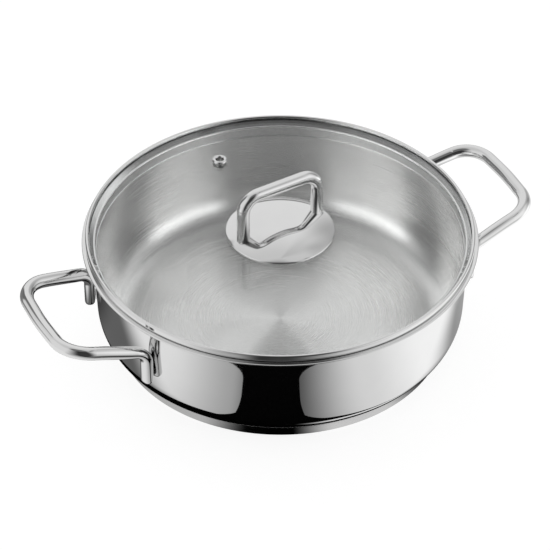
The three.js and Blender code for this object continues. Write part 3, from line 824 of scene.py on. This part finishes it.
INNER_DOME = DOME_RADIUS - PLATE_SHEET
INNER_EDGE = PLATE_RADIUS - PLATE_SHEET
EDGE_ROUND = 1.0
EDGE_X = PLATE_RADIUS - EDGE_ROUND
EDGE_DOME = DOME_RADIUS - EDGE_ROUND
DOME_END = acos(EDGE_X / EDGE_DOME)
plate = lathe(
    "domed_plate",
    [
        (arc(0, DOME_Z, INNER_DOME, QUARTER, acos(INNER_EDGE / INNER_DOME), UNDER_DOME_STEP), 0),
        ([(INNER_EDGE, PLATE_EDGE)], 0),
        (arc(PLATE_RADIUS - SHEET_ROUND, PLATE_EDGE + SHEET_ROUND, SHEET_ROUND, -QUARTER, 0, TRIM_STEP), 0),
        (arc(EDGE_X, dome_z(EDGE_X, EDGE_DOME), EDGE_ROUND, 0, DOME_END, ROUND_STEP), 0),
        (arc(0, DOME_Z, DOME_RADIUS, DOME_END, QUARTER, DOME_STEP), 0),
    ],
    [polished],
    closed=False,
    place=lid_place,
)
finish_piece(plate, "lid", "polished_steel", "lid_handle_plate")

BAR_TOP = PLATE_EDGE + LID_BAR_HEIGHT
HALF_SPAN = LID_BAR_SPAN / 2
FOOT_GAP, FOOT_SINK, FOOT_ROOM = 0.05, 1, 3.0
bar_vertices = [
    Vector((-HALF_SPAN, 0, dome_z(HALF_SPAN) - FOOT_SINK)),
    Vector((-HALF_SPAN, 0, BAR_TOP)),
    Vector((HALF_SPAN, 0, BAR_TOP)),
    Vector((HALF_SPAN, 0, dome_z(HALF_SPAN) - FOOT_SINK)),
]
bar_stations = [s + (1.0,) for s in bent_path(bar_vertices, [LID_BAR_CORNER, LID_BAR_CORNER])]
bar_half = (LID_BAR / 2, LID_BAR / 2, LID_BAR_SQUARENESS)
bar_length = bar_stations[-1][2]
kept = [s for s in bar_stations if FOOT_ROOM < s[2] < bar_length - FOOT_ROOM]
lid_bar = sweep(
    "grip_bar",
    [bar_stations[0]] + kept + [bar_stations[-1]],
    Vector((1, 0, 0)),
    lambda along: bar_half,
    [polished],
    place=lid_place,
    foot=lambda x, y: dome_z(hypot(x, y)) + FOOT_GAP,
)
finish_piece(lid_bar, "lid", "polished_steel", "lid_handle_bar")

GASKET_OUTER = PLATE_RADIUS - GASKET_INSET
GASKET_INNER = GASKET_OUTER - GASKET_WIDTH
gasket = tube(
    "gasket",
    GASKET_INNER,
    GASKET_OUTER,
    glass_top(GASKET_INNER) + SEAT_GAP,
    dome_z(GASKET_OUTER, DOME_RADIUS - PLATE_SHEET - SEAT_GAP),
    GASKET_ROUND,
    silicone,
)
finish_piece(gasket, "lid", "silicone", "plate_gasket")

seal_corners = [
    (SCREW_HOLE, SEAL_BOTTOM),
    (SEAL_DIAMETER / 2, SEAL_BOTTOM),
    (SEAL_DIAMETER / 2, SEAL_TOP),
    (SCREW_HOLE + SEAL_COLLAR, SEAL_TOP),
    (SCREW_HOLE + SEAL_COLLAR, GLASS_CROWN - SEAT_GAP),
    (SCREW_HOLE, GLASS_CROWN - SEAT_GAP),
]
seal = lathe("seal", [(rounded(seal_corners, SEAL_ROUND), 0)], [silicone], SMALL_SIDES, place=lid_place)
finish_piece(seal, "lid", "silicone", "screw_seal")
washer = tube(
    "clamp_washer", SCREW_HOLE, WASHER_DIAMETER / 2, WASHER_BOTTOM, WASHER_TOP, WASHER_ROUND, satin_small
)
finish_piece(washer, "lid", "satin_steel", "screw_washer")

SHANK = SCREW / 2
HEAD = SCREW_HEAD / 2
HEAD_ROUND = SCREW_HEAD_HEIGHT / 2
TIP = BOSS_TOP - SCREW_TIP_ROOM
screw = lathe(
    "clamp_screw",
    [
        ([(0, HEAD_BOTTOM)], 0),
        (arc(HEAD - HEAD_ROUND, HEAD_BOTTOM + HEAD_ROUND, HEAD_ROUND, -QUARTER, 0, FOLD_STEP), 0),
        ([(HEAD, HEAD_TOP), (SHANK, HEAD_TOP)], 0),
        ([(SHANK, TIP - SCREW_CHAMFER), (SHANK - SCREW_CHAMFER, TIP), (0, TIP)], 0),
    ],
    [satin_small],
    SMALL_SIDES,
    closed=False,
    place=lid_place,
)
for angle in (0, QUARTER):
    spot = lid_place @ Matrix.Rotation(angle, 4, "Z") @ Matrix.Translation((0, 0, HEAD_BOTTOM))
    carve(screw, block("driver", (SLOT_LENGTH, SLOT_WIDTH, 2 * SLOT_DEPTH), 0, spot, [satin_small]))
finish_piece(screw, "lid", "satin_steel", "handle_screw")

# Enclosed nodes keep their CAD shape
for node_name, material in (("base_core", aluminium), ("handle_boss", satin_small)):
    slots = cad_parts[node_name].data.materials
    slots.clear()
    slots.append(material)

# Studio: a white sweep for the camera, and a pale table with two bright sheets and a dark gap for the steel

CAMERA_AZIMUTH = radians(-26.89)
CAMERA_ELEVATION = radians(39.11)
CAMERA_AIM = Vector((-2.29, 4.26, 47.95)) * MM
CAMERA_DISTANCE = 2.3175
CAMERA_LENS = 200.28
CAMERA_SENSOR = 36
CAMERA_CLIP = 50
GAP_AZIMUTH = radians(-30.65)


def direction(azimuth, elevation):
    """Unit vector at an azimuth, from the front towards the right, and an elevation."""
    flat = cos(elevation)
    return Vector((sin(azimuth) * flat, -cos(azimuth) * flat, sin(elevation)))


# Brightness of the panels of the sky
LEFT_PANEL = 0.8
RIGHT_PANEL = 0.92
BACK_PANEL = 0.82
TOP_PANEL = 0.65
TOP_TOWARDS = direction(radians(148), 0)

# Gaps behind the two front panels: azimuth, and how it leans with the elevation
LEFT_BACK_GAP, LEFT_BACK_LEAN = radians(-150), 0.1
RIGHT_BACK_GAP, RIGHT_BACK_LEAN = radians(118), -0.2

# Patches of the sky by azimuth and elevation, each with its middle, its half width at full strength
# and its half width at the end, in degrees
LEFT_CORE = (-84, 24, 40), (18, 11, 24)
RIGHT_CORE = (34, 20, 36), (15, 9, 20)
LEFT_STRIP = (-168, 4, 12), (42, 10, 20)
RIGHT_STRIP = (124, 5, 12), (42, 6, 14)
SEAM = (48, 14, 26), (63, 1.5, 5)

# Amounts for what the steel outside mirrors, and for what reaches the inside of the pan through the glass
LEFT_CORE_GAIN = 0.0, 1.8
RIGHT_CORE_GAIN = 0.04, 2.0
STRIP_GAIN = 0.0, 0.3
FALLING_DEPTH = 1.0, 0.0
LEFT_GAP_DEPTH = 0.08, 0.7
RIGHT_GAP_DEPTH = 0.45, 0.1
LOW_GAP_DEPTH = 0.0, 0.85
CEILING_DEPTH = 0.0, 0.8
DARK_FRONT_SPREAD = 1.0, 1.2

# The dark front between the panels
SEAM_DEPTH = 0.85
DARK_FRONT_DEPTH = 0.95
DARK_FRONT = radians(-26)
DARK_TOP = direction(radians(-30), radians(64))
DARK_TOP_SHARE = 0.78


def dim(graph, light, mask, amount):
    """Light cut down by an amount where a mask is 1."""
    return graph.math("MULTIPLY", light, graph.math("SUBTRACT", 1.0, graph.math("MULTIPLY", mask, amount)))


def blend(graph, factor, a, b):
    return graph.add("ShaderNodeMix", {"Factor": factor, "A": a, "B": b}, data_type="FLOAT").outputs[0]


def build_world():
    """Two bright panels in front, a softer one behind and one above, with dark gaps between them."""
    world = bpy.data.worlds.new("studio")
    world.use_nodes = True
    graph = Graph(world.node_tree)
    ray = graph.add("ShaderNodeTexCoord").outputs["Generated"]
    split = graph.add("ShaderNodeSeparateXYZ", {0: ray}).outputs
    azimuth = graph.math("ARCTAN2", split[0], graph.math("MULTIPLY", split[1], -1.0))
    elevation = graph.math("ARCSINE", split[2])
    path = graph.add("ShaderNodeLightPath").outputs

    def from_gap(middle, lean):
        """Azimuth measured from a gap whose middle leans with the elevation."""
        return graph.math("SUBTRACT", azimuth, graph.math("MULTIPLY_ADD", elevation, lean, middle))

    def step(angle, low, high, *levels):
        """Smooth step between two angles in degrees."""
        return graph.ramp(angle, radians(low), radians(high), *levels)

    def window(angle, middle, full, none):
        """1 where an angle is close to the middle, and 0 beyond none."""
        off = graph.math("ABSOLUTE", graph.math("SUBTRACT", angle, radians(middle)))
        return step(off, none, full)

    def both(a, b):
        return graph.math("MULTIPLY", a, b)

    def patch(across, upwards):
        return both(window(azimuth, *across), window(elevation, *upwards))

    def by_ray(amounts):
        """The amount outside, or the amount through the glass."""
        return blend(graph, path["Is Transmission Ray"], *amounts)

    past_left = from_gap(LEFT_BACK_GAP, LEFT_BACK_LEAN)
    past_right = from_gap(RIGHT_BACK_GAP, RIGHT_BACK_LEAN)
    front = both(step(past_left, 0, 14), step(past_right, 4, -12))
    left_panel = step(elevation, 38, 62, LEFT_PANEL, TOP_PANEL)
    left_panel = graph.math("MULTIPLY_ADD", patch(*LEFT_CORE), by_ray(LEFT_CORE_GAIN), left_panel)
    right_panel = step(elevation, 28, 54, RIGHT_PANEL, TOP_PANEL)
    falling = both(step(azimuth, 60, 102), step(elevation, 10, 45, 0.5, 0.1))
    right_panel = dim(graph, right_panel, falling, by_ray(FALLING_DEPTH))
    right_panel = graph.math("MULTIPLY_ADD", patch(*RIGHT_CORE), by_ray(RIGHT_CORE_GAIN), right_panel)
    panels = blend(graph, step(azimuth, -35, -25), left_panel, right_panel)
    towards_back = graph.vector("DOT_PRODUCT", ray, tuple(TOP_TOWARDS), output="Value")
    above = graph.ramp(towards_back, 0.0, 0.6, TOP_PANEL, BACK_PANEL)
    light = blend(graph, both(front, step(elevation, 70, 56)), above, panels)
    left_gap = both(window(past_left, 0, 6, 24), step(elevation, 62, 42))
    light = dim(graph, light, left_gap, by_ray(LEFT_GAP_DEPTH))
    right_gap = both(window(past_right, 0, 6, 26), step(elevation, 25, 60, 1.0, 0.3))
    light = dim(graph, light, right_gap, by_ray(RIGHT_GAP_DEPTH))
    low_gap = both(window(azimuth, 124, 22, 42), step(elevation, 22, 8))
    light = dim(graph, light, low_gap, by_ray(LOW_GAP_DEPTH))
    edge = step(azimuth, 40, 80, radians(36), radians(32))
    ceiling = both(front, step(graph.math("SUBTRACT", elevation, edge), 0, 12))
    light = dim(graph, light, ceiling, by_ray(CEILING_DEPTH))
    strips = graph.math("ADD", patch(*RIGHT_STRIP), patch(*LEFT_STRIP))
    light = graph.math("MULTIPLY_ADD", strips, by_ray(STRIP_GAIN), light)
    light = dim(graph, light, patch(*SEAM), SEAM_DEPTH)
    turned = graph.math("SUBTRACT", azimuth, DARK_FRONT)
    turned = graph.math("MULTIPLY_ADD", turned, by_ray(DARK_FRONT_SPREAD), DARK_FRONT)
    dark = both(step(turned, -80, -34), step(turned, 29, -4))
    dark = both(dark, step(elevation, 68, 52))
    over = graph.vector("DOT_PRODUCT", ray, tuple(DARK_TOP), output="Value")
    over = graph.ramp(over, cos(radians(27)), cos(radians(15)), 0.0, DARK_TOP_SHARE)
    light = dim(graph, light, graph.math("MAXIMUM", dark, over), DARK_FRONT_DEPTH)
    strength = blend(graph, path["Is Camera Ray"], light, 1.0)
    background = graph.add("ShaderNodeBackground", {"Color": grey(1.0), "Strength": strength})
    graph.add("ShaderNodeOutputWorld", {"Surface": background.outputs[0]})
    bpy.context.scene.world = world


TABLE_RADIUS = 6000
TABLE_SIDES = 96
TABLE_HEIGHT = -0.2
TABLE_WHITE = 0.88
TABLE_SPECKS = 60.0


def table_material():
    """Pale table: white to the camera with a faint shadow, softly shaded where the steel mirrors it."""
    item, graph = new_material("pale_table")
    split = graph.add("ShaderNodeSeparateXYZ", {0: place_of(graph)}).outputs
    flat = graph.add("ShaderNodeCombineXYZ", {0: split[0], 1: split[1]}).outputs[0]
    level = graph.vector("NORMALIZE", flat)
    middle = graph.vector("DOT_PRODUCT", level, tuple(direction(GAP_AZIMUTH, 0)), output="Value")
    side = graph.vector("DOT_PRODUCT", level, tuple(direction(GAP_AZIMUTH + QUARTER, 0)), output="Value")
    away = graph.math("ARCCOSINE", middle)
    distance = graph.vector("LENGTH", flat, output="Value")

    def around(low, high, *levels):
        """Smooth step over the angle from the dark gap, in degrees."""
        return graph.ramp(away, radians(low), radians(high), *levels)

    def outward(low, high, *levels):
        """Smooth step over the distance from the pan's axis, in metres."""
        return graph.ramp(distance, low, high, *levels)

    def shade(turn, start, slope, limit, width, depth):
        """The pan's own shade on the table, which reaches further out to the sides."""
        reach = graph.math("MULTIPLY_ADD", graph.math("SUBTRACT", away, radians(turn)), slope, start)
        beyond = graph.math("SUBTRACT", distance, graph.math("MINIMUM", reach, limit))
        return graph.ramp(beyond, 0.0, width, depth, 1.0)

    def times(*values):
        product = values[0]
        for value in values[1:]:
            product = graph.math("MULTIPLY", product, value)
        return product

    def plus(a, b):
        return graph.math("ADD", a, b)

    near = outward(0.1365, 0.1355)
    right = plus(around(6, 38, 0.05, 0.76), around(36, 68, 0.0, 0.30))
    right = plus(right, around(84, 100, 0.0, 0.14))
    right = times(right, around(114, 130, 1.0, 0.62))
    right_shade = shade(82, start=0.146, slope=0.08, limit=0.166, width=0.04, depth=0.3)
    right_shade = blend(graph, around(124, 143), right_shade, 1.0)
    right_far = blend(graph, around(76, 104), outward(0.21, 0.42, 1.0, 0.6), 1.0)
    behind = blend(graph, around(116, 130), 1.0, outward(0.35, 0.7, 1.0, 0.7))
    right_near = times(around(8, 24, 0.0, 0.74), around(42, 62, 1.0, 0.1))
    right = blend(graph, near, times(right, right_shade, right_far, behind), right_near)
    left = times(around(4, 16, 0.1, 1.0), around(8, 48, 0.36, 0.86), around(78, 100, 1.0, 0.25))
    left_shade = shade(36, start=0.124, slope=0.09, limit=1.0, width=0.04, depth=0.15)
    left_far = blend(graph, around(38, 50), outward(0.26, 0.45, 1.0, 0.68), 1.0)
    left_near = times(around(8, 26, 0.0, 0.55), around(44, 62, 1.0, 0.4))
    left = blend(graph, near, times(left, left_far, left_shade), left_near)
    width = graph.ramp(middle, -0.2, 0.2, 0.35, 0.05)
    mirrored = blend(graph, graph.ramp(graph.math("DIVIDE", side, width), -1.0, 1.0), left, right)
    path = graph.add("ShaderNodeLightPath").outputs
    plain = graph.math("MAXIMUM", path["Is Camera Ray"], path["Is Transmission Ray"])
    strength = blend(graph, plain, blend(graph, path["Is Glossy Ray"], 0.0, mirrored), TABLE_WHITE)
    speck = graph.noise(place_of(graph), TABLE_SPECKS, 2.0)
    tone = graph.mix_color(graph.spread(speck, 0.0, 1.0), grey(0.25), grey(0.26))
    matte = graph.add("ShaderNodeBsdfDiffuse", {"Color": tone}).outputs[0]
    glow = graph.add("ShaderNodeEmission", {"Color": grey(1.0), "Strength": strength}).outputs[0]
    lit = graph.add("ShaderNodeAddShader", {0: matte, 1: glow}).outputs[0]
    pick = graph.add("ShaderNodeMixShader", {0: path["Is Glossy Ray"], 1: lit, 2: glow}).outputs[0]
    graph.add("ShaderNodeOutputMaterial", {"Surface": pick})
    return item


def flat_mesh(name, points, faces, height, material):
    obj = build_object(name, [(x, y, height) for x, y in points], faces, [0] * len(faces), [material])
    return obj


def build_table():
    turns = [2 * pi * k / TABLE_SIDES for k in range(TABLE_SIDES)]
    points = [(TABLE_RADIUS * cos(turn), TABLE_RADIUS * sin(turn)) for turn in turns]
    flat_mesh("table", points, [tuple(range(TABLE_SIDES))], TABLE_HEIGHT, table_material())


FLAG_AND_SHADE_NAP = 300.0


# Near-black sheets: a studio flag for the dark gap, and painted shade for the ring round the pan's foot
def dark_flag_and_shade_material():
    item, graph = new_material("black_flag_and_painted_shade")
    nap = graph.noise(place_of(graph), FLAG_AND_SHADE_NAP, 2.0)
    tone = graph.mix_color(graph.spread(nap, 0.0, 1.0), grey(0.002), grey(0.004))
    surface(graph, {"Base Color": tone, "Roughness": 1.0, "Specular IOR Level": 0.0})
    return item


# The dark gap on the table: rows of points by distance from the pan's axis
GAP_START, GAP_STEP, GAP_ROWS, GAP_COLUMNS = 136, 1.5, 60, 16
GAP_HALF = radians(11.35)
NEAR_END, NEAR_LENGTH, NEAR_ROUND = 188, 44, radians(12)
FAR_START, FAR_LENGTH, FAR_ROUND = 204, 15, radians(9.5)
TAIL_END, TAIL_LENGTH, TAIL_SPREAD = 146, 10, radians(26)

# The dark ring round the foot, which is wider on the left: painted shade of the pan on the table, seen only
# in the steel
FOOT_INNER, FOOT_OUTER, FOOT_WIDER = 127.5, 133, 11
FOOT_SHADE_HEIGHT = 9.2
FOOT_SIDES = 180

CARD_AZIMUTH = radians(-143)
CARD_DISTANCE = 530
CARD_WIDTH = 300
CARD_BOTTOM = -20
CARD_TOP = 560
CARD_GLOW = 0.16


def half_width(r):
    """Half the angle of the dark gap between the two bright sheets, which have rounded corners."""
    near = clamp((NEAR_END - r) / NEAR_LENGTH)
    far = clamp((r - FAR_START) / FAR_LENGTH)
    tail = max(0.0, (TAIL_END - r) / TAIL_LENGTH)
    near_round = NEAR_ROUND * (1 - sqrt(1 - near ** 2))
    far_round = FAR_ROUND * (1 - sqrt(1 - far ** 2))
    return GAP_HALF + near_round + far_round + TAIL_SPREAD * tail ** 2


def hide_from_view(obj):
    """Leaves an object to be seen in the steel alone."""
    obj.visible_camera = False
    obj.visible_diffuse = False
    obj.visible_shadow = False
    obj.visible_transmission = False


def polar(r, azimuth):
    return r * sin(azimuth), -r * cos(azimuth)


def build_flags():
    """A dark gap on the table in front of the pan, and a dark ring round its foot that is painted shade of
    the pan on the table.
    """
    dark_flag_and_shade = dark_flag_and_shade_material()
    row = GAP_COLUMNS + 1
    points = []
    faces = []
    for i in range(GAP_ROWS + 1):
        r = GAP_START + GAP_STEP * i
        for k in range(row):
            points.append(polar(r, GAP_AZIMUTH + half_width(r) * (2 * k / GAP_COLUMNS - 1)))
    for i in range(GAP_ROWS):
        for k in range(GAP_COLUMNS):
            a = i * row + k
            faces.append((a, a + 1, a + row + 1, a + row))
    hide_from_view(flat_mesh("dark_gap", points, faces, 0.0, dark_flag_and_shade))
    # The ring round the foot: painted shade of the pan on the table near its foot
    count = 2 * FOOT_SIDES
    points = []
    for k in range(FOOT_SIDES):
        azimuth = 2 * pi * k / FOOT_SIDES
        left = 0.5 - 0.5 * sin(azimuth - GAP_AZIMUTH)
        outer = FOOT_OUTER + FOOT_WIDER * smooth_step(left, 0.35, 0.65)
        points += [polar(FOOT_INNER, azimuth), polar(outer, azimuth)]
    faces = [(k, k + 1, (k + 3) % count, (k + 2) % count) for k in range(0, count, 2)]
    hide_from_view(flat_mesh("painted_foot_shade", points, faces, FOOT_SHADE_HEIGHT, dark_flag_and_shade))


def build_card():
    """A grey card with soft edges behind the pan on the left."""
    item, graph = new_material("grey_card")
    place = graph.add("ShaderNodeTexCoord").outputs["Generated"]
    split = graph.add("ShaderNodeSeparateXYZ", {0: place}).outputs
    soft = []
    for along in (split[0], split[2]):
        off = graph.math("ABSOLUTE", graph.math("SUBTRACT", along, 0.5))
        soft.append(graph.ramp(off, 0.5, 0.25))
    clear = graph.add("ShaderNodeBsdfTransparent").outputs[0]
    glow = graph.add("ShaderNodeEmission", {"Color": grey(1.0), "Strength": CARD_GLOW}).outputs[0]
    mask = graph.math("MULTIPLY", *soft)
    pick = graph.add("ShaderNodeMixShader", {0: mask, 1: clear, 2: glow}).outputs[0]
    graph.add("ShaderNodeOutputMaterial", {"Surface": pick})
    middle = direction(CARD_AZIMUTH, 0) * CARD_DISTANCE
    across = direction(CARD_AZIMUTH + QUARTER, 0) * (CARD_WIDTH / 2)
    corners = []
    for side, height in ((-1, CARD_BOTTOM), (1, CARD_BOTTOM), (1, CARD_TOP), (-1, CARD_TOP)):
        spot = middle + across * side
        corners.append((spot.x, spot.y, height))
    card = build_object("grey_card", corners, [(0, 1, 2, 3)], [0], [item])
    hide_from_view(card)


def build_camera():
    data = bpy.data.cameras.new("camera")
    data.lens = CAMERA_LENS
    data.sensor_width = CAMERA_SENSOR
    data.clip_end = CAMERA_CLIP
    camera = bpy.data.objects.new("camera", data)
    bpy.context.scene.collection.objects.link(camera)
    back = direction(CAMERA_AZIMUTH, CAMERA_ELEVATION)
    camera.location = CAMERA_AIM + back * CAMERA_DISTANCE
    camera.rotation_euler = back.to_track_quat("Z", "Y").to_euler()
    bpy.context.scene.camera = camera


build_world()
build_table()
build_flags()
build_card()
build_camera()
bpy.context.scene.view_settings.view_transform = "Standard"
